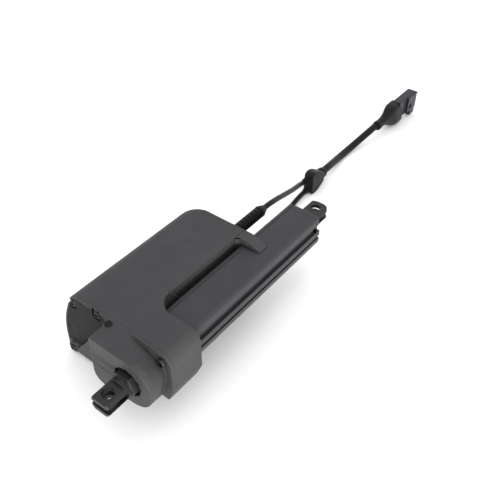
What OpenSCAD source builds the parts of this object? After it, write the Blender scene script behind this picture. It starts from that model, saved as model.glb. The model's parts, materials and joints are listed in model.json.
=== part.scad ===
// Parallel-drive linear actuator, lying on the broad floor of its motor housing.
// +X runs along the rod axis towards the rod eye, +Y towards the motor, +Z along the pin holes.
// The origin is the centre of the rear pin hole.

/* [Stroke and reach] */
// pin to pin length with the rod in
retracted_len = 351; // [345:0.5:360]
// travel of the rod
stroke = 200; // [100:10:200]
// travel of the nut per turn of the spindle
screw_lead = 10; // [4:1:20]

/* [Pin ends] */
// diameter of both pin holes
pin_d = 12.2; // [10:0.1:13]
// diameter of the rear fork bar
fork_d = 25; // [22:0.5:27]
// diameter of the rod tube and of its fork
rod_d = 27.5; // [24:0.5:28]
// width of the slot in both forks
fork_slot = 7; // [5:0.5:9]
// distance across the milled flats of both forks
fork_flats = 17; // [14:0.5:20]

/* [Housing] */
// height of the flat top face over the rod axis
top_z = 30; // [28:0.5:34]
// depth of the resting face under the rod axis
floor_z = 72; // [60:1:80]
// reach of the motor shell beside the rod axis
shell_y = 131; // [120:1:140]
// rear plane of the housing
rear_x = 52; // [48:1:58]
// far end of the motor shell
far_x = 244; // [200:1:260]
// wall thickness of the castings
wall = 3.5; // [3:0.5:5]
// front edge of the gear housing round the guide tube
ring_x = 96; // [88:1:105]
// face of the nose round the rear fork
nose_x = 24; // [20:1:30]
// radius of the nose round the rod axis
nose_r = 31.5; // [28:0.5:34]

/* [Guide tube] */
// width of the extruded guide tube
tube_w = 44; // [40:1:46]
// front face of the tube's end cap
cap_x = 325; // [320:1:330]
// diameter of the smooth inside of the guide tube
tube_bore = 38; // [36:0.5:39]

/* [Drive] */
// diameter of the motor can
motor_d = 64; // [50:1:66]
// length of the motor can
motor_len = 96; // [70:1:110]
// gear module
gear_m = 1.25; // [1:0.25:1.5]

/* [Cables] */
// diameter of the two short leads
lead_d = 7; // [5:0.5:8]
// diameter of the long cable
cable_d = 11; // [8:0.5:12]

/* [Hidden] */
$fn = 64;
e = 0.01;

black_coat = [0.2, 0.2, 0.205];
dark_plastic = [0.13, 0.13, 0.13];
steel = [0.6, 0.6, 0.62];
rubber_black = [0.06, 0.06, 0.06];
bronze = [0.6, 0.5, 0.25];

fork_r = fork_d / 2;
rod_r = rod_d / 2;
lip_y = tube_w / 2 + 2;
half_t = tube_w / 2;
tube_x0 = ring_x - 11;
tube_x1 = cap_x - 7;
slot_y = 28;
cap_screw_at = [-17.6, 17.6];
tube_round = 4.6;
far_round = 17;
nose_rim = 7;
root_r = 24.5;
ear_r = 10.5;
plate_x = rear_x + 4;

teeth_big = 40;
teeth_pinion = 10;
r_big = gear_m * teeth_big / 2;
r_pin = gear_m * teeth_pinion / 2;
train_a = -13;
idler_y = 2 * r_big * cos(train_a);
idler_z = 2 * r_big * sin(train_a);
motor_y = (3 * r_big + r_pin) * cos(train_a);
motor_z = (3 * r_big + r_pin) * sin(train_a);
motor_screw_z = [motor_z - 18, motor_z + 18];
gear_x0 = 62;
gear_x1 = gear_x0 + 10;
motor_x0 = 80.8;
motor_x1 = motor_x0 + motor_len;
shaft_r = 4;
idler_pin_r = 3.5;
idler_sleeve_r = 5.5;
run_gap = 0.08;
plate_x0 = 75.5;

// control board under the housing roof
board_z = 15;
board_t = 1.6;
board_posts = [[109, 41], [109, 93], [227, 41], [227, 93]];

// screws that hold the strap to the housing, as heights
strap_screw_z = [-17, -1];
strap_w = 15;
strap_screw_x = far_x - strap_w / 2;

pillar_r = 6.6;
screw_spots = [[108.3, 13.9], [70, 21], [-23, 20.5], [37, -61], [120.5, -62]];
low_screw = screw_spots[4];
override_at = [48, 46];
pocket_depth = 2.5;
pocket_r = 6.3;

// corners [y, z, radius] of the housing outlines
shell_pts = [[slot_y, -floor_z, 10], [shell_y, -floor_z, 10], [shell_y, -25, 140], [107, top_z, 16],
  [slot_y, top_z, 0.8]];
ring_pts = [[-32.5, -20, 8], [-25, -39, 3], [52, -39, 0.2], [52, top_z, 0.2], [-32.5, top_z, 14]];

// rounded outline through corners with radii, as points
function unit(v) = v / norm(v);
function corner(a, b, c, r, n) =
  let (u = unit(a - b), w = unit(c - b), cs = u * w, half = acos(cs) / 2, d = r / tan(half),
       m = b + unit(u + w) * (r / sin(half)), p = b + u * d, q = b + w * d,
       a0 = atan2(p[1] - m[1], p[0] - m[0]), a1 = atan2(q[1] - m[1], q[0] - m[0]),
       da = a1 - a0 > 180 ? a1 - a0 - 360 : (a1 - a0 < -180 ? a1 - a0 + 360 : a1 - a0))
  [for (i = [0:n]) m + r * [cos(a0 + da * i / n), sin(a0 + da * i / n)]];
function at2(p) = [p[0], p[1]];
function rounded(c, n = 8) = let (k = len(c))
  [for (i = [0:k - 1])
    each corner(at2(c[(i + k - 1) % k]), at2(c[i]), at2(c[(i + 1) % k]), max(0.05, c[i][2]), n)];
// the same outline moved inwards by t (corners given anticlockwise)
function left_n(d) = [-d[1], d[0]];
function inner(c, t) = let (k = len(c))
  [for (i = [0:k - 1]) let (a = at2(c[(i + k - 1) % k]), b = at2(c[i]), d = at2(c[(i + 1) % k]),
    u = unit(b - a), w = unit(d - b), n1 = left_n(u), n2 = left_n(w), m = (n1 + n2) / (1 + n1 * n2))
    [b[0] + t * m[0], b[1] + t * m[1], max(0.3, c[i][2] - t)]];

// closed skin through rings of equally many points, anticlockwise seen from +X
module skin(rings, flat = false) {
  n = len(rings[0]);
  m = len(rings);
  polyhedron(points = [for (r = rings) each r], convexity = 6, faces = concat(
    [[for (k = [0:n - 1]) k]],
    [for (i = [0:m - 2], k = [0:n - 1]) let (a = i * n + k, b = a + n, c = i * n + (k + 1) % n, d = c + n)
      each (flat ? [[a, b, d, c]] : [[a, b, d], [a, d, c]])],
    [[for (k = [n - 1:-1:0]) (m - 1) * n + k]]));
}

// motor shell from x0 to the far end, moved inwards by t, with its far corner rounded in plan
function pulled_in(t, d) = [for (c = inner(shell_pts, t)) [c[0] > 60 ? c[0] - d : c[0], c[1], c[2]]];
function shell_ring(x, t, d) = [for (q = rounded(pulled_in(t, d))) [x, q[0], q[1]]];
module shell_solid(x0, t = 0) {
  r = far_round - t;
  rounding = [for (a = [0:15:90]) shell_ring(far_x - far_round + r * sin(a), t, r * (1 - cos(a)))];
  skin(concat([shell_ring(x0, t, 0)], rounding), flat = true);
}

// turns a drawing in y, z into a bar along X
module bar(x0, x1) { translate([x0, 0, 0]) rotate([90, 0, 90]) linear_extrude(x1 - x0) children(); }
module cone_x(x0, x1, r0, r1, y = 0, z = 0, fn = 64) {
  translate([x0, y, z]) rotate([0, 90, 0]) cylinder(r1 = r0, r2 = r1, h = x1 - x0, $fn = fn);
}
module rod_x(x0, x1, r, y = 0, z = 0, fn = 64) {
  translate([x0, y, z]) rotate([0, 90, 0]) cylinder(r = r, h = x1 - x0, $fn = fn);
}
module ring_bar(x0, x1, ro, ri, y = 0, z = 0) {
  difference() {
    rod_x(x0, x1, ro, y, z);
    rod_x(x0 - 1, x1 + 1, ri, y, z);
  }
}
module outline_2d(t = 0) { polygon(rounded(inner(shell_pts, t))); polygon(rounded(inner(ring_pts, t))); }

// outline of the nose at its rim, and where it meets the flange
module nose_2d() {
  difference() {
    union() {
      circle(r = nose_r, $fn = 72);
      polygon(rounded([[-4, -31, 1], [52.5, -38.2, 14], [49.5, top_z, 2.5], [-4, top_z, 1]]));
    }
    translate([-60, top_z]) square([140, 20]);
  }
}
module nose_root_2d() {
  circle(r = root_r, $fn = 72);
  polygon(rounded([[-20, -38.4, 4], [52.5, -38.4, 14], [49.5, top_z, 2.5], [24, top_z, 4]]));
}

// open pocket round a sunk screw; the second one also opens upwards
module pocket_2d(i, gap = 0) translate(screw_spots[i]) {
  circle(r = pocket_r - gap);
  if (i == 1) translate([-5.6 + gap, 0]) square([11.2 - 2 * gap, 14]);
}

module star_2d(r) { circle(r = r, $fn = 6); rotate(30) circle(r = r, $fn = 6); }

// ---------------------------------------------------------------- housing
module main_housing() color(black_coat) {
  difference() {
    union() {
      shell_solid(plate_x);
      bar(plate_x, ring_x) polygon(rounded(ring_pts));
      // fillet block that turns the ring's front edge into the slot wall
      translate([0, 0, -39]) linear_extrude(top_z + 39) difference() {
        translate([ring_x - 2, 5]) square([23.7, 25]);
        translate([ring_x + 21.7, slot_y - 21.9]) circle(r = 22);
      }
    }
    // gear chamber
    bar(plate_x - 1, tube_x0 - 3) outline_2d(wall + 0.1);
    // motor and board room
    shell_solid(tube_x0 - 4, wall);
    // seat of the guide tube
    bar(tube_x0, ring_x + 30) tube_outline_2d(0.15);
    rod_x(tube_x0 - 4, tube_x0 + 1, 21.3);
    // gland holes
    rod_x(far_x - 10, far_x + 1, 6.2, gland_y, gland_z);
    rod_x(far_x - 10, far_x + 1, 6.2, gland2_y, gland2_z);
    // screw holes
    for (s = screw_spots) rod_x(plate_x - 1, plate_x + 14, 2.1, s[0], s[1], 24);
    for (z = strap_screw_z) translate([strap_screw_x, slot_y - 1, z]) rotate([-90, 0, 0])
      cylinder(r = 2, h = wall + 2, $fn = 24);
  }
  // posts of the control board, down from the roof
  for (s = board_posts) translate([s[0], s[1], board_z + board_t]) difference() {
    cylinder(r = 3.2, h = top_z - wall - board_z - board_t + 0.4, $fn = 32);
    translate([0, 0, -1]) cylinder(r = 1.5, h = 8, $fn = 24);
  }
  // screw pillars
  for (s = screw_spots) difference() {
    intersection() {
      rod_x(plate_x, plate_x + 18, pillar_r, s[0], s[1], 32);
      bar(plate_x, plate_x + 18) outline_2d(0.5);
    }
    rod_x(plate_x - 1, plate_x + 14, 2.1, s[0], s[1], 24);
    // room for the big gear
    rod_x(gear_x0 - 1.5, plate_x + 20, r_big + 1.75);
  }
}

module rear_cover() color(black_coat) {
  difference() {
    union() {
      bar(rear_x, plate_x) outline_2d(0);
      bar(nose_x, nose_x + nose_rim) nose_2d();
      hull() {
        bar(nose_x + nose_rim - 1, nose_x + nose_rim) nose_2d();
        bar(rear_x - 3, rear_x + e) nose_root_2d();
      }
      // boss under the small plug
      translate([override_at[0], override_at[1], 12]) cylinder(r = 5.6, h = top_z - 12);
      // raised web from the nose to the low corner screw
      bar(rear_x - 3, rear_x + e) polygon(rounded([[48, -66, 1], [116, -66, 3], [112, -58, 2], [96, -37, 12],
        [84, -20, 10], [48, 13, 1]]));
      rod_x(rear_x - 3, rear_x + e, 7.5, low_screw[0], low_screw[1]);
      // boss of the idler pin
      rod_x(plate_x - e, gear_x0 - 1.7, 7, idler_y, idler_z);
    }
    // twelve-point seat of the rear fork
    bar(nose_x - 1, nose_x + 5) star_2d(18.2);
    rod_x(nose_x, 33, 8.15);
    rod_x(32.5, 43, 14.2);
    rod_x(42.5, 46, 9);
    // bearing seat
    rod_x(45.5, plate_x + 1, 21);
    // pocket of the motor end cap
    bar(rear_x - 1, rear_x + 2.5) end_cap_2d(0);
    // groove of the seal
    bar(plate_x - 1.2, plate_x + 1) seal_path_2d(0);
    // plug hole
    translate([override_at[0], override_at[1], top_z - 6]) cylinder(r = 3.2, h = 10);
    // blind hole of the idler pin
    rod_x(plate_x - 1.4, gear_x0, idler_pin_r, idler_y, idler_z);
    // lightening hollow inside the nose
    bar(nose_x + 6, plate_x + 1) difference() {
      translate([26, -31]) polygon(rounded([[0, 4, 4], [12, 2, 5], [12, 56, 4], [0, 56, 4]]));
      circle(r = 23.5);
    }
    // screw holes and head seats
    for (s = screw_spots) rod_x(rear_x - 3.5, plate_x + 1, 2.7, s[0], s[1], 24);
    rod_x(rear_x - 6, rear_x, 4.7, screw_spots[2][0], screw_spots[2][1], 32);
    for (i = [0, 1]) bar(rear_x - 1, rear_x + pocket_depth) pocket_2d(i);
    rod_x(rear_x - 10, rear_x + 0.01, 4.7, low_screw[0], low_screw[1]);
  }
}

// border of the motor end cap along the web
end_cap_pts = [[56.5, 8, 2], [86, -22, 8], [98, -40, 10], [109, -54, 8], [140, -54, 1], [140, 60, 1],
  [56.5, 60, 1]];
module end_cap_2d(t) {
  intersection() {
    polygon(rounded(inner(shell_pts, 2.6 + t)));
    polygon(rounded(inner(end_cap_pts, t)));
  }
}

module motor_end_cap() color(dark_plastic) difference() {
  bar(rear_x + 0.7, rear_x + 2.5) end_cap_2d(0.15);
  for (i = [0, 1]) bar(rear_x - 2, rear_x + 3) pocket_2d(i);
}

module socket_screw(x, y, z, hh) {
  head = 4.25;
  difference() {
    union() {
      cone_x(x - hh, x - hh + 0.6, head - 0.5, head, y, z, 32);
      rod_x(x - hh + 0.6, x, head, y, z, 32);
      rod_x(x - e, x + 10, 2.05, y, z, 24);
    }
    rod_x(x - hh - 1, x - hh * 0.25, 2.9, y, z, 6);
  }
}

module cover_screws() color(steel) {
  for (i = [0:4]) socket_screw(i < 2 ? rear_x + pocket_depth : rear_x, screw_spots[i][0], screw_spots[i][1],
    i < 2 ? 1.6 : 4.6);
}

module override_plug() color(dark_plastic) {
  translate([override_at[0], override_at[1], top_z - 6]) cylinder(r = 3.1, h = 6.2);
  translate([override_at[0], override_at[1], top_z]) difference() {
    cylinder(r1 = 4.3, r2 = 3.8, h = 1.1);
    translate([0, 0, 0.7]) cylinder(r = 2.6, h = 2);
  }
}

module seal_path_2d(gap) difference() { outline_2d(1 + gap); outline_2d(2.4 - gap); }
module housing_gasket() color(rubber_black) bar(plate_x - 1.15, plate_x) seal_path_2d(0.05);

// ---------------------------------------------------------------- rear fork
module fork_bar(r, x_end, dir, x_full, x_root) {
  // round bar from x_root to x_end with flats, slot, hole and chamfers; dir is +1 or -1 towards the end
  difference() {
    union() {
      rod_x(min(x_root, x_end - dir * 1.5), max(x_root, x_end - dir * 1.5), r);
      if (dir > 0) cone_x(x_end - 1.5, x_end, r, r - 1.5); else cone_x(x_end, x_end + 1.5, r - 1.5, r);
    }
    for (z = [fork_flats / 2, -fork_flats / 2 - r]) translate([dir > 0 ? x_full : x_end - 5, -r - 1, z])
      cube([abs(x_end - x_full) + 5, 2 * r + 2, r]);
  }
}

// slot with a round root at x_root, open towards dir
module fork_slot_cut(x_root, dir) {
  translate([dir > 0 ? x_root : x_root - 30, -20, -fork_slot / 2]) cube([30, 40, fork_slot]);
  translate([x_root, 20, 0]) rotate([90, 0, 0]) cylinder(r = fork_slot / 2, h = 40, $fn = 32);
}
module pin_chamfers() for (s = [0, 180]) rotate([s, 0, 0]) translate([0, 0, -fork_flats / 2 - e])
  cylinder(r1 = pin_d / 2 + 0.6, r2 = pin_d / 2, h = 0.6);

module rear_clevis() color(steel) difference() {
  union() {
    fork_bar(fork_r, -12.5, -1, 12, 18);
    bar(18, nose_x + 5) circle(r = 16, $fn = 6);
    rod_x(nose_x + 5 - e, 43, 8);
  }
  fork_slot_cut(11.5, -1);
  translate([0, 0, -20]) cylinder(d = pin_d, h = 40);
  pin_chamfers();
}

module clevis_nut() color(steel) difference() {
  bar(32.5, 41) circle(r = 14, $fn = 6);
  rod_x(30, 45, 8);
}

// ---------------------------------------------------------------- guide tube
module tube_outline_2d(t = 0) {
  h = half_t + t;
  l = lip_y + t;
  polygon(rounded([[-l, -h, 9], [l, -h, 9], [l, 5, 1], [h, 11, 1], [h, h, tube_round],
    [-h, h, tube_round], [-h, 11, 1], [-l, 5, 1]], 6));
}
module tube_2d() {
  difference() {
    polygon(rounded([[-lip_y, -half_t, 9], [lip_y, -half_t, 9], [lip_y, 2.2, 0.4], [half_t, 2.6, 0.2],
      [half_t, half_t, tube_round], [-half_t, half_t, tube_round], [-half_t, 2.6, 0.2],
      [-lip_y, 2.2, 0.4]], 6));
    for (s = [-1, 1]) {
      translate([s * (half_t + 1), 5.8]) square([5.6, 7.2], center = true);
      translate([s * (lip_y), -7.3]) square([7.5, 3.4], center = true);
    }
    translate([15.4, half_t]) square([0.9, 1.4], center = true);
  }
}
module guide_tube() color([0.2, 0.2, 0.21]) difference() {
  bar(tube_x0 + 0.2, tube_x1) tube_2d();
  rod_x(tube_x0 - 1, tube_x1 + 1, tube_bore / 2);
  for (y = cap_screw_at, z = cap_screw_at) rod_x(tube_x1 - 14, tube_x1 + 1, 1.7, y, z, 24);
}

module end_cap() color([0.2, 0.2, 0.21]) difference() {
  bar(tube_x1, cap_x) tube_2d();
  rod_x(tube_x1 - 1, cap_x + 1, 15.3);
  rod_x(cap_x - 4, cap_x + 1, 17.2);
  for (y = cap_screw_at, z = cap_screw_at) {
    rod_x(tube_x1 - 1, cap_x + 1, 1.85, y, z, 24);
    rod_x(cap_x - 2, cap_x + 1, 3.1, y, z, 24);
  }
}
module cap_screws() color(steel) for (y = cap_screw_at, z = cap_screw_at)
  difference() {
    union() {
      rod_x(cap_x - 2, cap_x - 0.3, 3, y, z, 24);
      rod_x(tube_x1 - 10, cap_x - 2 + e, 1.65, y, z, 24);
    }
    rod_x(cap_x - 1.6, cap_x + 1, 1.5, y, z, 6);
  }
module front_bush() color(bronze) difference() {
  union() {
    rod_x(308.8, tube_x1, tube_bore / 2 - 0.05);
    rod_x(tube_x1 - e, cap_x - 4.2, 15.2);
  }
  rod_x(300, 330, rod_r + 0.08);
}
module wiper_seal() color(rubber_black) difference() {
  union() {
    rod_x(cap_x - 4, cap_x - 0.4, 17.1);
    cone_x(cap_x - 0.4, cap_x + 0.8, 16.2, 14.9);
  }
  rod_x(300, 340, rod_r + 0.08);
}

// strap that clips over the tube's top corner at the far end of the housing
module front_bracket() color(black_coat) difference() {
  union() {
    bar(far_x - strap_w, far_x) polygon(concat(
      [[slot_y - 0.15, 13], [slot_y - 0.15, top_z - 0.1], [20, top_z - 0.2], [13, top_z - 0.8],
       [6.5, top_z - 2.2], [1.5, top_z - 4.2], [-2.5, top_z - 6.2], [-4.6, half_t + 1.2],
       [-4.8, half_t + 0.02], [half_t - tube_round - 0.2, half_t + 0.02]],
      [for (a = [90:-15:0]) (half_t - tube_round) * [1, 1] + (tube_round + 0.15) * [cos(a), sin(a)]],
      [[half_t + 0.4, half_t - tube_round - 0.4], [half_t + 0.4, 13]]));
    bar(far_x - strap_w, far_x) translate([lip_y + 0.2, -24]) square([slot_y - lip_y - 0.4, 38]);
    // fillet between the strap and the slot wall
    translate([far_x - strap_w - 6, slot_y - 6.5, 13]) linear_extrude(top_z - 13.2) difference() {
      square([6.4, 6.35]);
      circle(r = 5.8);
    }
  }
  for (z = strap_screw_z) translate([strap_screw_x, 20, z]) rotate([-90, 0, 0]) {
    cylinder(r = 2.1, h = 10, $fn = 24);
    cylinder(r = 4, h = lip_y + 2.2 - 20, $fn = 32);
  }
}
module bracket_screws() color(steel)
  for (z = strap_screw_z) translate([strap_screw_x, lip_y + 0.4, z]) rotate([-90, 0, 0]) {
    cylinder(r = 3.9, h = 1.8, $fn = 32);
    cylinder(r = 1.95, h = slot_y + wall - 0.2 - lip_y - 0.4, $fn = 24);
  }

// ---------------------------------------------------------------- rod
module rod_tube() color(steel) ring_bar(100, 331, rod_r, 10.5);
module rod_eye() color(steel) difference() {
  union() {
    fork_bar(rod_r, retracted_len + 13, 1, retracted_len - 15, 331);
    rod_x(312, 331 + e, 10.45);
  }
  fork_slot_cut(retracted_len - 11, 1);
  translate([retracted_len, 0, -20]) cylinder(d = pin_d, h = 40);
  // rounded plan of the two ears
  for (s = [-1, 1]) translate([retracted_len + 13, s * rod_r, -20]) difference() {
    translate([-ear_r, s > 0 ? -ear_r : -1, 0]) cube([ear_r + 1, ear_r + 1, 40]);
    translate([-ear_r, -s * ear_r, -1]) cylinder(r = ear_r, h = 42);
  }
  translate([retracted_len, 0, 0]) pin_chamfers();
}
module eye_nut() color(steel) ring_bar(306, 311.8, 10.4, 9.4);
module spindle_nut() color(bronze) difference() {
  union() {
    rod_x(87, 100, 16.5);
    rod_x(100 - e, 112, 10.45);
  }
  rod_x(80, 120, 9.35);
}
module guide_ring() color([0.85, 0.85, 0.8]) ring_bar(88.5, 98.5, tube_bore / 2 - 0.08, 16.55);

// ---------------------------------------------------------------- spindle and gears
// two-start thread, long enough for the stroke
thread_x0 = 87;
thread_pitch = screw_lead / 2;
spindle_x1 = thread_x0 + stroke + 13;
ridges = [for (x = [thread_x0:thread_pitch:thread_x0 + stroke + 6]) x];
module spindle() color(steel) rotate([0, 90, 0]) rotate_extrude() polygon(concat(
  [[0, 46.5], [7.2, 46.5], [7.5, 47], [7.5, 84], [7.2, 86]],
  [for (x = ridges) each [[7.2, x], [9, x + 0.2 * thread_pitch], [9, x + 0.52 * thread_pitch],
    [7.2, x + 0.72 * thread_pitch]]],
  [[7.2, spindle_x1 - 2], [5.4, spindle_x1], [0, spindle_x1]]));

// tooth flanks: the width shrinks from root to tip
function gear_pts(n, m) =
  let (rp = m * n / 2, rr = rp - 1.2 * m, ra = rp + 0.82 * m - 0.02, p = 360 / n,
       tooth = [[rr, -0.36], [rp, -0.18], [ra, -0.085], [ra, 0.085], [rp, 0.18], [rr, 0.36]])
  [for (i = [0:n - 1]) each [for (k = tooth) k[0] * [cos((i + k[1]) * p), sin((i + k[1]) * p)]]];
module gear(x0, x1, y, z, n, a, hub) {
  translate([x0, y, z]) rotate([90, 0, 90]) rotate(a) difference() {
    linear_extrude(x1 - x0) polygon(gear_pts(n, gear_m));
    translate([0, 0, -1]) cylinder(r = hub, h = x1 - x0 + 2);
  }
}

module spindle_gear() color([0.85, 0.82, 0.7]) difference() {
  gear(gear_x0, gear_x1, 0, 0, teeth_big, train_a, 7.5);
  for (i = [0:5]) rotate([i * 60, 0, 0]) rod_x(gear_x0 - 1, gear_x1 + 1, 3.2, 15.5, 0, 24);
}
module spindle_lock_nut() color(steel) difference() {
  bar(gear_x0 - 5, gear_x0) circle(r = 12, $fn = 6);
  rod_x(40, 80, 7.5);
}
module rear_bearing() color(steel) ring_bar(47.5, 56, 21, 7.58);
module front_bearing() color(steel) ring_bar(76, 83, 16, 7.58);
module bearing_plate() color([0.5, 0.5, 0.5]) difference() {
  bar(plate_x0, motor_x0) outline_2d(wall + 0.5);
  rod_x(plate_x0 - 1, motor_x0 + 1, 16);
  rod_x(plate_x0 - 1, motor_x0 + 1, idler_pin_r, idler_y, idler_z);
  rod_x(plate_x0 - 1, motor_x0 + 1, 12.05, motor_y, motor_z);
  for (z = motor_screw_z) rod_x(plate_x0 - 1, motor_x0 + 1, 2.1, motor_y, z, 24);
  for (s = screw_spots) rod_x(plate_x0 - 1, motor_x0 + 1, pillar_r + 0.3, s[0], s[1], 32);
}
module idler_gear() color([0.3, 0.3, 0.3]) difference() {
  gear(gear_x0, gear_x1, idler_y, idler_z, teeth_big, 180 + train_a + 180 / teeth_big,
    idler_sleeve_r + run_gap);
  for (i = [0:5]) translate([0, idler_y, idler_z]) rotate([i * 60, 0, 0])
    rod_x(gear_x0 - 1, gear_x1 + 1, 3.4, 15, 0, 24);
}
module idler_pin() color(steel) rod_x(plate_x - 1.4, motor_x0 - 0.8, idler_pin_r, idler_y, idler_z);
module idler_bushes() color(bronze) {
  ring_bar(gear_x0 - 1.7, gear_x0 - 0.8, 8, idler_pin_r, idler_y, idler_z);
  ring_bar(gear_x0 - 0.8, gear_x1 + 0.6, idler_sleeve_r, idler_pin_r, idler_y, idler_z);
  ring_bar(gear_x1 + 0.6, plate_x0, 8, idler_pin_r, idler_y, idler_z);
}

module motor_can() color([0.5, 0.5, 0.52]) difference() {
  union() {
    rod_x(motor_x0, motor_x1, motor_d / 2, motor_y, motor_z);
    rod_x(motor_x0 - 3, motor_x0 + e, 12, motor_y, motor_z);
  }
  rod_x(motor_x0 + 3, motor_x1 + 1, motor_d / 2 - 2.5, motor_y, motor_z);
  rod_x(motor_x0 - 5, motor_x0 + 5, shaft_r + run_gap, motor_y, motor_z);
  for (z = motor_screw_z) rod_x(motor_x0 - 1, motor_x0 + 4, 2.05, motor_y, z, 24);
}
module motor_screws() color(steel) for (z = motor_screw_z) difference() {
  union() {
    rod_x(plate_x0 - 2.2, plate_x0, 3.6, motor_y, z, 32);
    rod_x(plate_x0 - e, motor_x0 + 2.8, 2, motor_y, z, 24);
  }
  rod_x(plate_x0 - 3, plate_x0 - 0.8, 1.6, motor_y, z, 6);
}
module motor_magnets() color([0.25, 0.25, 0.25]) for (s = [-1, 1]) difference() {
  ring_bar(motor_x0 + 16, motor_x0 + 70, motor_d / 2 - 2.6, motor_d / 2 - 8, motor_y, motor_z);
  for (t = [-1, 1]) translate([motor_x0, motor_y, motor_z + t * motor_d / 2])
    cube([400, motor_d * 2, motor_d / 2], center = true);
  translate([motor_x0, motor_y - s * motor_d, motor_z])
    cube([400, motor_d * 2 + 12, motor_d * 2], center = true);
}
module motor_end_bell() color(dark_plastic) difference() {
  union() {
    rod_x(motor_x1, motor_x1 + 6, motor_d / 2 - 0.5, motor_y, motor_z);
    rod_x(motor_x1 - 6, motor_x1 + e, motor_d / 2 - 2.6, motor_y, motor_z);
    rod_x(motor_x1 + 6 - e, motor_x1 + 12, 10, motor_y, motor_z);
  }
  rod_x(motor_x1 - 7, motor_x1 + 10, shaft_r + run_gap, motor_y, motor_z);
  rod_x(motor_x1 - 7, motor_x1 - 1, 15, motor_y, motor_z);
}
module motor_brushes() color([0.2, 0.18, 0.16]) for (s = [-1, 1])
  translate([motor_x1 - 12, motor_y + s * 15.5 - 4, motor_z - 3]) cube([6, 8, 6]);
module armature() color([0.5, 0.35, 0.2]) {
  rod_x(gear_x0 - 1, motor_x1 + 9.5, shaft_r, motor_y, motor_z);
  difference() {
    rod_x(motor_x0 + 18, motor_x0 + 68, motor_d / 2 - 9, motor_y, motor_z);
    for (i = [0:9]) translate([0, motor_y, motor_z]) rotate([i * 36 + 18, 0, 0])
      translate([motor_x0 + 10, motor_d / 2 - 16, -1]) cube([70, 10, 2]);
  }
  rod_x(motor_x0 + 10, motor_x0 + 18 + e, 17, motor_y, motor_z);
  rod_x(motor_x0 + 68 - e, motor_x0 + 75, 17, motor_y, motor_z);
  rod_x(motor_x0 + 75, motor_x1 - 4, 11, motor_y, motor_z);
}
module motor_pinion() color(steel)
  gear(gear_x0 - 1, gear_x1 + 1, motor_y, motor_z, teeth_pinion, 180 + train_a, shaft_r);

// ---------------------------------------------------------------- electronics
module control_board() color([0.1, 0.3, 0.15]) difference() {
  translate([104, 36, board_z]) cube([128, 62, board_t]);
  for (s = board_posts) translate([s[0], s[1], board_z - 5]) cylinder(r = 1.7, h = 10, $fn = 24);
}
module board_parts() color([0.15, 0.15, 0.16]) translate([0, 0, board_z + board_t]) {
  for (x = [118, 140, 162]) translate([x, 48, 0]) cube([14, 9, 4]);
  translate([190, 60, 0]) cube([22, 22, 3]);
  for (x = [122, 142]) translate([x, 80, 0]) cylinder(r = 6, h = 8.5, $fn = 32);
  translate([214, 46, 0]) cube([14, 24, 8]);
}
module board_screws() color(steel) for (s = board_posts) translate([s[0], s[1], 0]) {
  translate([0, 0, board_z - 2]) cylinder(r = 3, h = 2, $fn = 24);
  translate([0, 0, board_z - e]) cylinder(r = 1.45, h = 7, $fn = 24);
}

// ---------------------------------------------------------------- cables
gland_y = 45;
gland_z = 15;
gland2_y = 48;
gland2_z = -42;
module gland(y, z, tip_x) color(rubber_black) {
  pitch = 3.2;
  cone = 8;
  collar_x = tip_x - cone - 4;
  n = floor((collar_x - far_x - 3) / pitch);
  difference() {
    union() {
      rod_x(far_x - wall - 2, far_x + 1, 6, y, z);
      rod_x(far_x - wall - 4, far_x - wall - 0.05, 8, y, z);
      rod_x(far_x + 0.05, far_x + 3, 8.4, y, z);
      rod_x(far_x + 2, collar_x + 1, 6.6, y, z);
      for (i = [1:n]) rod_x(far_x + 1 + i * pitch, far_x + 3 + i * pitch, 7.4, y, z, 48);
      rod_x(collar_x, tip_x - cone, 7.4, y, z, 48);
      cone_x(tip_x - cone, tip_x, 7.2, lead_d / 2 + 0.6, y, z);
    }
    rod_x(far_x - 12, tip_x + 1, lead_d / 2 + 0.02, y, z, 24);
  }
}
module power_gland() gland(gland_y, gland_z, 305);
module signal_gland() gland(gland2_y, gland2_z, 283);

function crom(p, i, t) =
  let (k = len(p), a = p[max(0, i - 1)], b = p[i], c = p[min(k - 1, i + 1)], d = p[min(k - 1, i + 2)])
  0.5 * ((2 * b) + (c - a) * t + (2 * a - 5 * b + 4 * c - d) * t * t + (3 * b - a - 3 * c + d) * t * t * t);
function route(p, s) = concat([for (i = [0:len(p) - 2], j = [0:s - 1]) crom(p, i, j / s)], [p[len(p) - 1]]);
function tang(q, i) = unit(q[min(len(q) - 1, i + 1)] - q[max(0, i - 1)]);
function ring_at(c, t, r, n) = let (u = unit(cross([0, 0, 1], t)), w = cross(t, u))
  [for (k = [0:n - 1]) c + r * (cos(360 * k / n) * u + sin(360 * k / n) * w)];
module swept(p, s, r, n) {
  q = route(p, s);
  skin([for (i = [0:len(q) - 1]) ring_at(q[i], tang(q, i), r, n)]);
}

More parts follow.
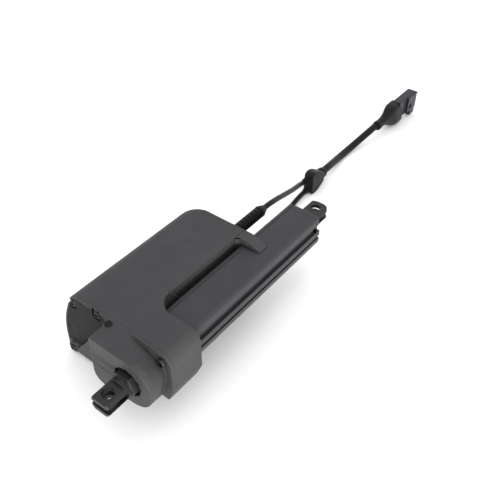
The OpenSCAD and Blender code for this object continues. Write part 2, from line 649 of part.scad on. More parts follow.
split_x0 = 461;
split_x1 = 494;
split_y = 78.5;
split_half = 7.5;
split_z = -56;
plug_y = 75;
plug_z = -48.5;
power_route = [[236, 45, 15], [262, 45, 15], [300, 45, 15], [313, 45.5, 14.2], [326, 47, 11], [340, 50, 5.5],
  [354, 53, -0.5], [368, 56.5, -7], [382, 60, -13.5], [396, 64, -20.5], [410, 68.5, -27.5], [424, 73.5, -35],
  [436, 78, -41.5], [447, 81.5, -47.5], [457, 83.2, -51.5], [466, 83.5, -53]];
signal_route = [[236, 48, -42], [262, 48, -42], [280, 48, -43], [295, 49.5, -47.5], [310, 52.5, -54],
  [325, 56, -60.5], [340, 60, -65], [355, 64, -67.3], [370, 67.5, -68.2], [385, 71, -68.3], [400, 74, -68.1],
  [415, 76.5, -67.6], [430, 78.5, -67], [444, 80, -67], [457, 81, -67.3], [466, 81, -67.5]];
main_route = [[488, 79.5, -56], [505, 79.7, -56], [515, 80.2, -56.6], [527, 81.8, -58.8], [540, 84, -61.8],
  [553, 86, -64.6], [566, 87.2, -66.2], [580, 87.4, -66.4], [593, 86.8, -65.4], [606, 85.2, -62.9],
  [618, 82.9, -59.4], [630, 80.2, -55.2], [641, 77.6, -51.4], [652, 76, -49], [662, 75.3, -48.5],
  [674, 75, -48.5]];
module power_lead() color(rubber_black) swept(power_route, 3, lead_d / 2, 10);
module signal_lead() color(rubber_black) swept(signal_route, 3, lead_d / 2, 10);
module main_cable() color(rubber_black) swept(main_route, 4, cable_d / 2, 12);

// moulded block where the two leads join the long cable
module lead_splitter() color(rubber_black) {
  translate([0, split_y + split_half, 0]) rotate([90, 0, 0]) linear_extrude(2 * split_half)
    polygon(rounded([[split_x0, -71.5, 3], [split_x0 + 14, -71.5, 6], [split_x1 - 2, -63.5, 3],
      [split_x1, -50, 4], [split_x0 + 17, -40, 6], [split_x0 + 8, -37.5, 5], [split_x0, -39, 5]], 5));
  rod_x(split_x0 - 4, split_x0 + 6, lead_d / 2 + 1.7, 83.3, -52.3, 32);
  rod_x(split_x0 - 4, split_x0 + 6, lead_d / 2 + 1, 81, -67.4, 32);
  rod_x(split_x1 - 8, split_x1 + 6, 8, split_y + 1, split_z, 40);
  cone_x(split_x1 + 6, split_x1 + 11, 7.4, cable_d / 2 + 0.6, split_y + 1, split_z, 40);
}

// bell-shaped boot: rings of x, half width, half height, how boxy the ring is and how far it leans
boot_rings = [[652, 7, 7, 0, 0], [653, 7.6, 7.6, 0, 0], [658.5, 7.6, 7.6, 0, 0], [659.2, 6.6, 6.6, 0, 0],
  [672, 7.2, 7.8, 0, 0], [680, 7.8, 11, 0.1, 0.1], [686, 8.4, 14.5, 0.2, 0.2], [691, 9.2, 17.5, 0.3, 0.3],
  [696, 10, 19.2, 0.4, 0.3], [702, 10.8, 20, 0.5, 0.3], [719, 10.8, 20, 0.55, 0.3], [721, 10.2, 19.4, 0.55, 0.3]];
boot_drop = 5.5;
function boot_ring(b, n = 28) = [for (k = [0:n - 1])
  let (c = cos(360 * k / n), s = sin(360 * k / n), p = 1 - b[3], rise = b[2] * sign(s) * pow(abs(s), p))
  [b[0] - b[4] * rise, plug_y - 0.5 + b[1] * sign(c) * pow(abs(c), p), plug_z - 0.3 - b[4] * boot_drop + rise]];
module plug_boot() color(rubber_black) difference() {
  skin([for (b = boot_rings) boot_ring(b)]);
  // socket for the rear of the plug body
  bar(plug_x0 - 0.05, plug_end) translate([plug_side0 - 0.05, plug_low - 0.05])
    square([plug_side1 - plug_side0 + 0.1, plug_top - plug_low + 0.1]);
}

// plug body between its two side faces
plug_side0 = plug_y - 10.5;
plug_side1 = plug_y + 4;
plug_top = -30;
plug_low = -60;
plug_x0 = 710;
plug_end = 764;
mouth_y = [plug_side0 + 2, plug_side1 - 2];
module plug_body() color([0.2, 0.2, 0.24]) difference() {
  union() {
    bar(plug_x0, plug_end) polygon(rounded([[plug_side0, plug_low, 1.5], [plug_side1, plug_low, 1.5],
      [plug_side1, plug_top, 1.5], [plug_side0, plug_top, 1.5]], 5));
    // thicker front with the latch housing on its near side and the key below
    bar(735, plug_end) polygon(rounded([[plug_side0 - 3, plug_low + 1, 1.5],
      [plug_side0 + 6, plug_low + 1, 1.5], [plug_side0 + 6, plug_top - 0.6, 1.5],
      [plug_side0 - 3, plug_top - 0.6, 1.5]], 5));
    bar(748, plug_end - 1) translate([plug_side0 - 2.5, plug_low - 8.5]) square([11, 10]);
    bar(plug_end - 2.2, plug_end) translate([plug_side0 - 4.8, plug_top - 2]) square([12, 1.6]);
    // grip ribs
    for (x = [725, 729]) bar(x, x + 1.6) translate([plug_side0 - 0.9, plug_low + 3]) square([3, 24]);
  }
  bar(plug_end - 22, plug_end + 2) translate([mouth_y[0], plug_low + 3])
    square([mouth_y[1] - mouth_y[0], plug_top - plug_low - 6]);
  // round latch window
  translate([745, plug_side0 - 4, -49.5]) rotate([-90, 0, 0]) cylinder(r = 4.4, h = 3.4, $fn = 32);
}
module plug_terminals() color(bronze) for (y = [-2.6, 2.6], z = [-9, -4.5, 0, 4.5, 9])
  translate([plug_end - 23, (mouth_y[0] + mouth_y[1]) / 2 + y - 0.8, (plug_top + plug_low) / 2 + z - 0.8])
    cube([16, 1.6, 1.6]);

main_housing();
rear_cover();
motor_end_cap();
cover_screws();
override_plug();
housing_gasket();
rear_clevis();
clevis_nut();
guide_tube();
front_bracket();
bracket_screws();
end_cap();
cap_screws();
front_bush();
wiper_seal();
rod_tube();
rod_eye();
eye_nut();
spindle_nut();
guide_ring();
spindle();
spindle_gear();
spindle_lock_nut();
rear_bearing();
front_bearing();
bearing_plate();
idler_gear();
idler_pin();
idler_bushes();
motor_can();
motor_screws();
motor_magnets();
motor_end_bell();
motor_brushes();
armature();
motor_pinion();
control_board();
board_parts();
board_screws();
power_gland();
signal_gland();
power_lead();
signal_lead();
lead_splitter();
main_cable();
plug_boot();
plug_body();
plug_terminals();
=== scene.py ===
import json
import math

import bmesh
import bpy
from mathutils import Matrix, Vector


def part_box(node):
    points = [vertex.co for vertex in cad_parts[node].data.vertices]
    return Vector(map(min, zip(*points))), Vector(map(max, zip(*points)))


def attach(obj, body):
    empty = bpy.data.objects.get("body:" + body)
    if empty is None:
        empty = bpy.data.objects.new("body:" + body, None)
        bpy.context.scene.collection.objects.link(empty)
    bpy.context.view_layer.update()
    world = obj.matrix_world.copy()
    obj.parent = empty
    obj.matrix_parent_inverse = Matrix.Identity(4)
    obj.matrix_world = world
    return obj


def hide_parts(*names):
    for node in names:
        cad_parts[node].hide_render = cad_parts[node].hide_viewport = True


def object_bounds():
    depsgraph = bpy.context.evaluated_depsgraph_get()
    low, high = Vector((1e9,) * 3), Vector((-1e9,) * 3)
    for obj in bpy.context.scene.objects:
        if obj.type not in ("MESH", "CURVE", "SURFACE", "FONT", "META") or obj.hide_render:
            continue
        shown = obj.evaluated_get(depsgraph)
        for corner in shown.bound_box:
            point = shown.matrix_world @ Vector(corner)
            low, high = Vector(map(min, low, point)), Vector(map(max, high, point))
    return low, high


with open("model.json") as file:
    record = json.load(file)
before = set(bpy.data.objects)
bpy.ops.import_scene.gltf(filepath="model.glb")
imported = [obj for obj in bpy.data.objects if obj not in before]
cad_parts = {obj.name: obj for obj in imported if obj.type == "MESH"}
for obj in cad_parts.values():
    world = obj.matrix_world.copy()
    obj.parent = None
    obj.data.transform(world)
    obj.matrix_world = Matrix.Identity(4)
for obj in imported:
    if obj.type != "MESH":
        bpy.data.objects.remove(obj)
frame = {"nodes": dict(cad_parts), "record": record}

cad_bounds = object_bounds()
MM = 0.001
NODES_OF = frame["record"]["behaviour"]["bodies"]
BODY_OF = {node: body for body, nodes in NODES_OF.items() for node in nodes}
SLOT_OF = {part["node"]: part["material_slot"] for part in frame["record"]["subparts"]}

# ------------------------------------------------------------------ camera
CAMERA_PLACE = Vector((-0.2168, -0.3261, 0.5257))
CAMERA_LOOK = Vector((0.5908, 0.4629, -0.6608))
LENS_MM = 50
SENSOR_MM = 36
NEAREST_SEEN = 10 * MM


def add_camera():
    data = bpy.data.cameras.new("camera")
    data.lens = LENS_MM
    data.sensor_width = SENSOR_MM
    data.clip_start = NEAREST_SEEN
    camera = bpy.data.objects.new("camera", data)
    camera.location = CAMERA_PLACE
    camera.rotation_euler = CAMERA_LOOK.to_track_quat("-Z", "Y").to_euler()
    bpy.context.scene.collection.objects.link(camera)
    bpy.context.scene.camera = camera


# ------------------------------------------------------------------ cords
LEAD_D = 7 * MM
CABLE_D = 11 * MM
ROUTE_STEPS = 5              # stretches of a jacket between two points of its route
JACKET_ROUNDNESS = 6

# exits as (Y, Z) and routes as (X, Y, Z), in mm
POWER_EXIT = (45, 15)
SIGNAL_EXIT = (48, -42)
POWER_ROUTE = [
    (244, 45, 15), (262, 45, 15), (300, 45, 15), (313, 45.5, 14.2), (326, 47, 11), (340, 50, 5.5),
    (354, 53, -0.5), (368, 56.5, -7), (382, 60, -13.5), (396, 64, -20.5), (410, 68.5, -27.5),
    (424, 73.5, -35), (436, 78, -41.5), (447, 81.5, -47.5), (457, 83.2, -51.5), (466, 83.5, -53)]
SIGNAL_ROUTE = [
    (244, 48, -42), (262, 48, -42), (280, 48, -43), (295, 49.5, -47.5), (310, 52.5, -54),
    (325, 56, -60.5), (340, 60, -65), (355, 64, -67.3), (370, 67.5, -68.2), (385, 71, -68.3),
    (400, 74, -68.1), (415, 76.5, -67.6), (430, 78.5, -67), (444, 80, -67), (457, 81, -67.3),
    (466, 81, -67.5)]
MAIN_ROUTE = [
    (488, 79.5, -56), (505, 79.7, -56), (515, 80.2, -56.6), (527, 81.8, -58.8), (540, 84, -61.8),
    (553, 86, -64.6), (566, 87.2, -66.2), (580, 87.4, -66.4), (593, 86.8, -65.4), (606, 85.2, -62.9),
    (618, 82.9, -59.4), (630, 80.2, -55.2), (641, 77.6, -51.4), (652, 76, -49), (662, 75.3, -48.5),
    (674, 75, -48.5)]


def curve_point(a, b, c, d, t):
    """Point at t on the smooth curve from b to c, with a before and d after."""
    bend = 2 * a - 5 * b + 4 * c - d
    twist = 3 * b - a - 3 * c + d
    return 0.5 * (2 * b + (c - a) * t + bend * t ** 2 + twist * t ** 3)


def smooth_route(route):
    points = [Vector(p) * MM for p in route]
    last = len(points) - 1
    path = []
    for i in range(last):
        around = [points[max(0, i - 1)], points[i], points[i + 1], points[min(last, i + 2)]]
        path += [curve_point(*around, j / ROUTE_STEPS) for j in range(ROUTE_STEPS)]
    return path + [points[last]]


def cord_piece(name, route, diameter):
    """Round jacket along a route, and the path of its middle."""
    path = smooth_route(route)
    data = bpy.data.curves.new(name, "CURVE")
    data.dimensions = "3D"
    data.bevel_depth = diameter / 2
    data.bevel_resolution = JACKET_ROUNDNESS
    data.use_fill_caps = True
    spline = data.splines.new("POLY")
    spline.points.add(len(path) - 1)
    for point, place in zip(spline.points, path):
        point.co = (*place, 1)
    spline.use_smooth = True
    piece = bpy.data.objects.new(name, data)
    bpy.context.scene.collection.objects.link(piece)
    return piece, path


# ------------------------------------------------------------------ materials
NOISE_ROUGHNESS = 0.6
CLOUD_RANGE = (0.3, 0.7)     # noise at the darkest and at the palest colour
SPECK_RANGE = (0.35, 0.65)
EDGE_RANGE = (0.53, 0.64)    # pointiness of an edge that wear starts on, and of a fully worn one
# the next three set the painted shade in recesses: the colour is darkened where few rays get out within
# the reach
OPEN_RANGE = (0.35, 0.88)    # openness of the deepest recess, and of a face that stays as it is
RECESS_SHADE_SAMPLES = 8
RECESS_SHADE_REACH = 6 * MM
WEAR_SHADE = 2.2             # a worn edge's shade of the base, where no tint is given
GLOSS_SCALE = 3              # the gloss changes over shorter distances than the colour does
LEAST_ROUGHNESS = 0.02
GRAIN_STRENGTH = 0.5
COAT_ROUGHNESS = 0.25
MIX_FACTOR, MIX_A, MIX_B = 0, 6, 7      # a colour mix node's inputs
MIX_RESULT = 2                          # and its output


def shade(colour, times):
    return tuple(min(1.0, c * times) for c in colour)


def grey(value):
    return (value, value, value)


def new_material(name):
    material = bpy.data.materials.new(name)
    material.use_nodes = True
    tree = material.node_tree
    tree.nodes.clear()
    output = tree.nodes.new("ShaderNodeOutputMaterial")
    shader = tree.nodes.new("ShaderNodeBsdfPrincipled")
    tree.links.new(shader.outputs["BSDF"], output.inputs["Surface"])
    return material, tree, shader


def object_coords(tree, stretch):
    place = tree.nodes.new("ShaderNodeTexCoord")
    mapping = tree.nodes.new("ShaderNodeMapping")
    mapping.inputs["Scale"].default_value = stretch
    tree.links.new(place.outputs["Object"], mapping.inputs["Vector"])
    return mapping.outputs["Vector"]


def noise_node(tree, coords, scale, detail):
    node = tree.nodes.new("ShaderNodeTexNoise")
    node.inputs["Scale"].default_value = scale
    node.inputs["Detail"].default_value = detail
    node.inputs["Roughness"].default_value = NOISE_ROUGHNESS
    tree.links.new(coords, node.inputs["Vector"])
    return node.outputs["Fac"]


def ramp_node(tree, factor, places, first, last):
    """Colour that goes from first to last while the factor goes from one place to the other."""
    node = tree.nodes.new("ShaderNodeValToRGB")
    for element, place, colour in zip(node.color_ramp.elements, places, (first, last)):
        element.position = place
        element.color = (*colour, 1)
    tree.links.new(factor, node.inputs["Fac"])
    return node.outputs["Color"]


def mix_node(tree, colour, blend):
    node = tree.nodes.new("ShaderNodeMix")
    node.data_type = "RGBA"
    node.blend_type = blend
    tree.links.new(colour, node.inputs[MIX_A])
    return node


def multiply_colour(tree, colour, times):
    node = mix_node(tree, colour, "MULTIPLY")
    node.inputs[MIX_FACTOR].default_value = 1.0
    tree.links.new(times, node.inputs[MIX_B])
    return node.outputs[MIX_RESULT]


def cloudy_colour(tree, coords, cloud, fine, base, spread):
    clouds = noise_node(tree, coords, cloud, 4.0)
    colour = ramp_node(tree, clouds, CLOUD_RANGE, shade(base, 1 - spread), shade(base, 1 + spread))
    specks = ramp_node(tree, fine, SPECK_RANGE, grey(1 - spread), grey(1.0))
    return multiply_colour(tree, colour, specks)


def worn_edges(tree, colour, wear, tint):
    geometry = tree.nodes.new("ShaderNodeNewGeometry")
    edges = ramp_node(tree, geometry.outputs["Pointiness"], EDGE_RANGE, grey(0.0), grey(wear))
    node = mix_node(tree, colour, "MIX")
    tree.links.new(edges, node.inputs[MIX_FACTOR])
    node.inputs[MIX_B].default_value = (*tint, 1)
    return node.outputs[MIX_RESULT]


# painted shade: the colour is darkened in recesses and creases, where ambient occlusion finds the
# surface closed in
def painted_recess_shade(tree, colour, recess_shade):
    nearby = tree.nodes.new("ShaderNodeAmbientOcclusion")
    nearby.samples = RECESS_SHADE_SAMPLES
    nearby.inputs["Distance"].default_value = RECESS_SHADE_REACH
    shadow = ramp_node(tree, nearby.outputs["AO"], OPEN_RANGE, grey(recess_shade), grey(1.0))
    return multiply_colour(tree, colour, shadow)


def uneven_gloss(tree, coords, cloud, rough, spread):
    clouds = noise_node(tree, coords, cloud * GLOSS_SCALE, 3.0)
    smoothest = max(LEAST_ROUGHNESS, rough - spread)
    roughest = min(1.0, rough + spread)
    return ramp_node(tree, clouds, CLOUD_RANGE, grey(smoothest), grey(roughest))


def grain_relief(tree, fine, height):
    bump = tree.nodes.new("ShaderNodeBump")
    bump.inputs["Strength"].default_value = GRAIN_STRENGTH
    bump.inputs["Distance"].default_value = height
    tree.links.new(fine, bump.inputs["Height"])
    return bump.outputs["Normal"]


def finish_material(name, base, rough, metallic=0.0, specular=0.5, coat=0.0, spread=0.12,
                    rough_spread=0.06, cloud=45, grain=(1800, 0.06), stretch=(1, 1, 1), wear=0.0,
                    wear_tint=None, recess_shade=None):
    """Surface with cloudy colour, uneven gloss and fine grain in relief.

    cloud is the scale of the clouds, and grain that of the grain with its height in mm. Where wear
    is set the edges are paler; the recess-shade value paints shade into the recesses, darkening the
    colour where the surface is closed in.
    """
    material, tree, shader = new_material(name)
    coords = object_coords(tree, stretch)
    grain_scale, grain_height = grain
    fine = noise_node(tree, coords, grain_scale, 2.0)
    colour = cloudy_colour(tree, coords, cloud, fine, base, spread)
    if wear:
        colour = worn_edges(tree, colour, wear, wear_tint or shade(base, WEAR_SHADE))
    # painted shade in the recesses
    if recess_shade is not None:
        colour = painted_recess_shade(tree, colour, recess_shade)
    gloss = uneven_gloss(tree, coords, cloud, rough, rough_spread)
    tree.links.new(colour, shader.inputs["Base Color"])
    tree.links.new(gloss, shader.inputs["Roughness"])
    tree.links.new(grain_relief(tree, fine, grain_height * MM), shader.inputs["Normal"])
    shader.inputs["Metallic"].default_value = metallic
    shader.inputs["Specular IOR Level"].default_value = specular
    shader.inputs["Coat Weight"].default_value = coat
    shader.inputs["Coat Roughness"].default_value = COAT_ROUGHNESS
    return material


# in each finish, the value that darkens the recesses is painted shade: the share of the colour left in
# the deepest recess
FINISHES = {
    "housing_coat": dict(base=(0.0285, 0.0285, 0.0302), rough=0.60, specular=0.30, spread=0.08, cloud=18,
                         grain=(1500, 0.10), wear=0.15, wear_tint=(0.055, 0.055, 0.056), recess_shade=0.5),
    "tube_coat": dict(base=(0.0185, 0.0185, 0.0212), rough=0.52, specular=0.30, spread=0.07, cloud=14,
                      grain=(2600, 0.05), wear=0.25, wear_tint=(0.08, 0.08, 0.084), recess_shade=0.25),
    "moulded_plastic": dict(base=(0.0075, 0.0073, 0.0069), rough=0.62, specular=0.13,
                            grain=(2200, 0.03), recess_shade=0.4),
    "black_screw": dict(base=(0.014, 0.014, 0.015), rough=0.38, metallic=0.3, grain=(3000, 0.03),
                        wear=0.25, wear_tint=(0.10, 0.10, 0.11), recess_shade=0.2),
    "dark_steel": dict(base=(0.013, 0.0125, 0.0115), rough=0.42, metallic=0.2, specular=0.28, cloud=60,
                       wear=0.4, wear_tint=(0.10, 0.10, 0.095), recess_shade=0.35),
    "bare_steel": dict(base=(0.42, 0.42, 0.43), rough=0.34, metallic=1.0, cloud=80, grain=(2400, 0.03),
                       stretch=(0.08, 1, 1)),
    "rod_chrome": dict(base=(0.58, 0.58, 0.60), rough=0.14, metallic=1.0, spread=0.05,
                       rough_spread=0.04, cloud=60, grain=(2600, 0.01), stretch=(1, 0.05, 0.05)),
    "bronze": dict(base=(0.48, 0.34, 0.15), rough=0.36, metallic=1.0, grain=(2400, 0.03),
                   stretch=(1, 0.1, 0.1)),
    "gear_plastic": dict(base=(0.66, 0.63, 0.54), rough=0.50, spread=0.05, grain=(2000, 0.04)),
    "cast_alloy": dict(base=(0.46, 0.46, 0.47), rough=0.48, metallic=0.9, grain=(1400, 0.12)),
    "seal_rubber": dict(base=(0.014, 0.014, 0.014), rough=0.72, specular=0.35, grain=(1600, 0.08)),
    "magnet": dict(base=(0.06, 0.056, 0.053), rough=0.6, grain=(2600, 0.08)),
    "winding": dict(base=(0.42, 0.17, 0.06), rough=0.35, metallic=0.8, grain=(1500, 0.2),
                    stretch=(0.05, 1, 1)),
    "board_green": dict(base=(0.02, 0.12, 0.05), rough=0.35, coat=0.4, spread=0.25, cloud=200,
                        grain=(1200, 0.03)),
    "board_black": dict(base=(0.02, 0.02, 0.022), rough=0.45, grain=(2200, 0.05)),
    "cable_rubber": dict(base=(0.005, 0.005, 0.0053), rough=0.42, specular=0.12, grain=(1500, 0.04),
                         recess_shade=0.4),
    "plug_plastic": dict(base=(0.0075, 0.0075, 0.0125), rough=0.40, specular=0.25, grain=(2000, 0.05),
                         wear=0.3, recess_shade=0.2),
    "terminal_brass": dict(base=(0.62, 0.48, 0.20), rough=0.3, metallic=1.0, grain=(2400, 0.02)),
}
MATERIALS = {slot: finish_material(slot, **values) for slot, values in FINISHES.items()}


# ------------------------------------------------------------------ pieces around the frame
SAME_PLACE = 0.002 * MM      # corners closer than this are one corner
FLAT_DEGREES = 0.5
SHARP_DEGREES = 28
SMOOTH_DEGREES = 40
IN_SEAM = 0.05 * MM
SOFTEN_FACTOR = 0.5
FACES_KEPT = 0.4
SEAM_STRETCH = 0.35


def add_object(name, mesh):
    piece = bpy.data.objects.new(name, mesh)
    bpy.context.scene.collection.objects.link(piece)
    return piece


def mesh_object(name, bm):
    """Object with the bmesh's faces, after which the bmesh is freed."""
    mesh = bpy.data.meshes.new(name)
    bm.to_mesh(mesh)
    bm.free()
    return add_object(name, mesh)


def dress(piece, *nodes):
    """The piece stands for CAD nodes: it rides on their body and takes their finish."""
    first = nodes[0]
    piece.data.materials.clear()
    piece.data.materials.append(MATERIALS[SLOT_OF[first]])
    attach(piece, BODY_OF[first])
    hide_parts(*nodes)
    return piece


def joined_copy(node, name):
    """Copy of a CAD node with its triangles joined into whole faces, so its edges can be rounded."""
    bm = bmesh.new()
    bm.from_mesh(frame["nodes"][node].data)
    bmesh.ops.remove_doubles(bm, verts=bm.verts, dist=SAME_PLACE)
    bmesh.ops.dissolve_degenerate(bm, dist=SAME_PLACE, edges=bm.edges)
    bmesh.ops.dissolve_limit(bm, angle_limit=math.radians(FLAT_DEGREES), verts=bm.verts, edges=bm.edges)
    bm.verts.index_update()
    corners = [v.co.copy() for v in bm.verts]
    faces = [[v.index for v in f.verts] for f in bm.faces]
    bm.free()
    mesh = bpy.data.meshes.new(name)
    mesh.from_pydata(corners, [], faces)
    mesh.update()
    return add_object(name, mesh)


def apply_modifiers(piece):
    depsgraph = bpy.context.evaluated_depsgraph_get()
    done = bpy.data.meshes.new_from_object(piece.evaluated_get(depsgraph), depsgraph=depsgraph)
    piece.modifiers.clear()
    old = piece.data
    piece.data = done
    done.name = piece.name
    bpy.data.meshes.remove(old)


def smooth_by_angle(piece, degrees=SMOOTH_DEGREES):
    piece.data.shade_smooth()
    piece.data.set_sharp_from_angle(angle=math.radians(degrees))


def mark_edges(mesh, seam_x):
    """Bevel weight 1 on every sharp edge, except the edges of the seam in the plane X = seam_x."""
    bm = bmesh.new()
    bm.from_mesh(mesh)
    weight = bm.edges.layers.float.new("bevel_weight_edge")
    for edge in bm.edges:
        on_seam = seam_x is not None and all(abs(v.co.x - seam_x) < IN_SEAM for v in edge.verts)
        sharp = len(edge.link_faces) == 2 and edge.calc_face_angle(0) > math.radians(SHARP_DEGREES)
        edge[weight] = 1.0 if sharp and not on_seam else 0.0
    bm.to_mesh(mesh)
    bm.free()


def keep_in_box(mesh, low, high):
    for vertex in mesh.vertices:
        vertex.co = [min(max(c, a), b) for c, a, b in zip(vertex.co, low, high)]


def round_edges(piece, width, segments, seam_x):
    corners = [v.co for v in piece.data.vertices]
    low = [min(c[k] for c in corners) for k in range(3)]
    high = [max(c[k] for c in corners) for k in range(3)]
    mark_edges(piece.data, seam_x)
    bevel = piece.modifiers.new("round", "BEVEL")
    bevel.width = width
    bevel.segments = segments
    bevel.limit_method = "WEIGHT"
    bevel.use_clamp_overlap = False
    bevel.miter_outer = "MITER_ARC"
    apply_modifiers(piece)
    keep_in_box(piece.data, low, high)
    smooth_by_angle(piece)
    normals = piece.modifiers.new("normals", "WEIGHTED_NORMAL")
    normals.keep_sharp = True
    apply_modifiers(piece)


def machined(node, name, width, segments=2, seam_x=None):
    """Copy of a CAD node with rounded edges."""
    piece = joined_copy(node, name)
    round_edges(piece, width, segments, seam_x)
    return dress(piece, node)


def moulded(node, name, voxel, rounds, seam_x=None):
    """Copy of a CAD node with edges and corners softened, as on a casting or a rubber moulding.

    What lies beyond seam_x isn't smoothed, and it reaches a little into the neighbour, so that no
    groove shows.
    """
    piece = joined_copy(node, name)
    remesh = piece.modifiers.new("remesh", "REMESH")
    remesh.mode = "VOXEL"
    remesh.voxel_size = voxel
    apply_modifiers(piece)
    group = piece.vertex_groups.new(name="soft")
    soft = [v.index for v in piece.data.vertices if seam_x is None or v.co.x < seam_x]
    group.add(soft, 1.0, "REPLACE")
    soften = piece.modifiers.new("soften", "SMOOTH")
    soften.factor = SOFTEN_FACTOR
    soften.iterations = rounds
    soften.vertex_group = "soft"
    thin = piece.modifiers.new("thin", "DECIMATE")
    thin.ratio = FACES_KEPT
    apply_modifiers(piece)
    piece.vertex_groups.clear()
    if seam_x is not None:
        for vertex in piece.data.vertices:
            vertex.co.x += max(0.0, vertex.co.x - seam_x) * SEAM_STRETCH
    piece.data.shade_smooth()
    return dress(piece, node)


# ------------------------------------------------------------------ cable glands
SPIGOT_LENGTH = 7.5 * MM     # the part inside the housing's wall
SPIGOT_R = 5.8 * MM
FLANGE_LENGTH = 3 * MM
FLANGE_R = 8.3 * MM
SLEEVE_R = 7.3 * MM
SLOT_PITCH = 3.2 * MM
SLOT_WIDTH = 1.2 * MM
SLOT_R = 6.4 * MM
BRIDGE_FROM = 0.72           # cosine above which a bridge crosses the slot
COLLAR_LENGTH = 4 * MM
COLLAR_R = 7.4 * MM
CONE_LENGTH = 8 * MM
CONE_R = 7.2 * MM
TIP_R = LEAD_D / 2 + 0.6 * MM
RING_GAP = 0.33 * MM
WALL_GAP = 0.02 * MM
GLAND_SIDES = 72
GLAND_SMOOTH_DEGREES = 50


def lathe_x(name, centre, rings, sides, radius_at):
    """Skin of rings along X whose radius comes from radius_at(x, angle); both ends closed."""
    y, z = (c * MM for c in centre)
    bm = bmesh.new()
    loops = []
    for x in rings:
        loop = []
        for k in range(sides):
            angle = 2 * math.pi * k / sides
            r = radius_at(x, angle)
            loop.append(bm.verts.new((x, y + r * math.cos(angle), z + r * math.sin(angle))))
        loops.append(loop)
    for first, second in zip(loops, loops[1:]):
        for k in range(sides):
            n = (k + 1) % sides
            bm.faces.new((first[k], first[n], second[n], second[k]))
    bm.faces.new(loops[0][::-1])
    bm.faces.new(loops[-1])
    bmesh.ops.recalc_face_normals(bm, faces=bm.faces)
    return mesh_object(name, bm)


def sleeve_radius(along, angle):
    """Radius of the slotted sleeve, whose slots are bridged in turn on the sides and above and below."""
    row = int(along // SLOT_PITCH)
    bridged = math.cos(2 * angle + row * math.pi) > BRIDGE_FROM
    return SLOT_R if along % SLOT_PITCH < SLOT_WIDTH and not bridged else SLEEVE_R


def gland_piece(node, name, lead_place):
    """Strain relief: flange, slotted sleeve with a collar, and a cone down to the lead."""
    low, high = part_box(node)
    wall_x = low.x + SPIGOT_LENGTH
    sleeve_x = wall_x + FLANGE_LENGTH
    cone_x = high.x - CONE_LENGTH
    collar_x = cone_x - COLLAR_LENGTH

    def radius_at(x, angle):
        if x < wall_x + WALL_GAP:
            return SPIGOT_R
        if x < sleeve_x:
            return FLANGE_R
        if x < collar_x:
            return sleeve_radius(x - sleeve_x, angle)
        if x < cone_x:
            return COLLAR_R
        return CONE_R + (TIP_R - CONE_R) * (x - cone_x) / CONE_LENGTH

    length = high.x - low.x
    steps = int(length / RING_GAP)
    rings = [low.x + length * i / steps for i in range(steps + 1)]
    piece = lathe_x(name, lead_place, rings, GLAND_SIDES, radius_at)
    smooth_by_angle(piece, GLAND_SMOOTH_DEGREES)
    return dress(piece, node)


# ------------------------------------------------------------------ floor and light
FLOOR_HALF = 6.0
FLOOR_DROP = 0.2 * MM
FLOOR_COLOUR = grey(0.90)
WORLD_COLOUR = (0.985, 0.99, 1.0, 1)
WORLD_STRENGTH = 1.36
WARM = (1.0, 0.965, 0.92)
COOL = (0.93, 0.965, 1.0)


def add_floor():
    level = cad_bounds[0][2] - FLOOR_DROP
    bm = bmesh.new()
    corners = [(-1, -1), (1, -1), (1, 1), (-1, 1)]
    bm.faces.new([bm.verts.new((x * FLOOR_HALF, y * FLOOR_HALF, level)) for x, y in corners])
    floor = mesh_object("floor", bm)
    paper = finish_material("floor_paper", FLOOR_COLOUR, rough=0.9, specular=0.1, spread=0.01, cloud=3,
                            grain=(300, 0.05))
    floor.data.materials.append(paper)


def area_light(name, place, target, size, watts, colour):
    data = bpy.data.lights.new(name, "AREA")
    data.shape = "RECTANGLE"
    data.size, data.size_y = size
    data.energy = watts
    data.color = colour
    lamp = bpy.data.objects.new(name, data)
    lamp.location = place
    lamp.rotation_euler = (Vector(target) - Vector(place)).to_track_quat("-Z", "Y").to_euler()
    bpy.context.scene.collection.objects.link(lamp)


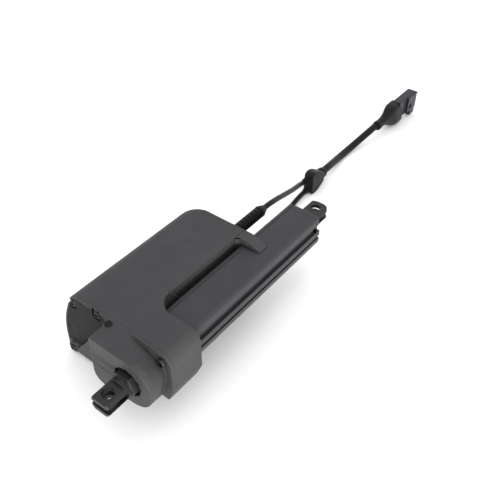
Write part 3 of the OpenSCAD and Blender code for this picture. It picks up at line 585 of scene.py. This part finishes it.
def add_light():
    world = bpy.data.worlds.new("studio")
    world.use_nodes = True
    background = world.node_tree.nodes["Background"]
    background.inputs["Color"].default_value = WORLD_COLOUR
    background.inputs["Strength"].default_value = WORLD_STRENGTH
    bpy.context.scene.world = world
    # the low lamp lights the sides and the rear, and hardly touches the top faces or the floor
    area_light("low_soft", place=(-0.85, -1.25, 0.04), target=(0.15, 0.0, -0.01), size=(1.3, 0.18),
               watts=44, colour=WARM)
    area_light("top_soft", place=(0.7, 0.3, 1.7), target=(0.2, 0.05, 0.0), size=(1.4, 1.4),
               watts=5, colour=COOL)
    bpy.context.scene.view_settings.view_transform = "Standard"


add_camera()

# cords and what is on them
power_lead, power_path = cord_piece("power_lead_jacket", POWER_ROUTE, LEAD_D)
signal_lead, signal_path = cord_piece("signal_lead_jacket", SIGNAL_ROUTE, LEAD_D)
main_cable, main_path = cord_piece("main_cable_jacket", MAIN_ROUTE, CABLE_D)
dress(power_lead, "power_lead")
dress(signal_lead, "signal_lead")
dress(main_cable, "main_cable")
power_gland = gland_piece("power_gland", "power_strain_relief", POWER_EXIT)
signal_gland = gland_piece("signal_gland", "signal_strain_relief", SIGNAL_EXIT)
splitter = moulded("lead_splitter", "splitter_block", voxel=0.5 * MM, rounds=6)
boot = moulded("plug_boot", "plug_boot_moulding", voxel=0.5 * MM, rounds=5)
plug = machined("plug_body", "plug_shell", width=0.5 * MM)

# the two castings, which meet at a seam that doesn't show
HOUSING_END_X = 56 * MM
SOFT_END_X = HOUSING_END_X - 1.5 * MM
machined("main_housing", "housing_casting", width=0.8 * MM, segments=3, seam_x=HOUSING_END_X)
moulded("rear_cover", "rear_casting", voxel=0.55 * MM, rounds=5, seam_x=SOFT_END_X)

# the other pieces that show: CAD node, name, width of the rounding in mm, segments in it
for node, name, width, segments in [
        ("motor_end_cap", "motor_end_lid", 0.4, 2),
        ("cover_screws", "cover_screw_set", 0.25, 2),
        ("override_plug", "override_cap", 0.3, 2),
        ("rear_clevis", "rear_fork", 0.5, 3),
        ("guide_tube", "guide_profile", 0.3, 2),
        ("front_bracket", "tube_strap", 0.5, 2),
        ("end_cap", "tube_end_cap", 0.4, 2),
        ("cap_screws", "cap_screw_set", 0.15, 2),
        ("rod_eye", "rod_fork", 0.5, 3)]:
    machined(node, name, width * MM, segments)

# CAD nodes that keep their own shape
for node, piece in frame["nodes"].items():
    if not piece.hide_render:
        piece.data.materials.clear()
        piece.data.materials.append(MATERIALS[SLOT_OF[node]])

add_floor()
add_light()
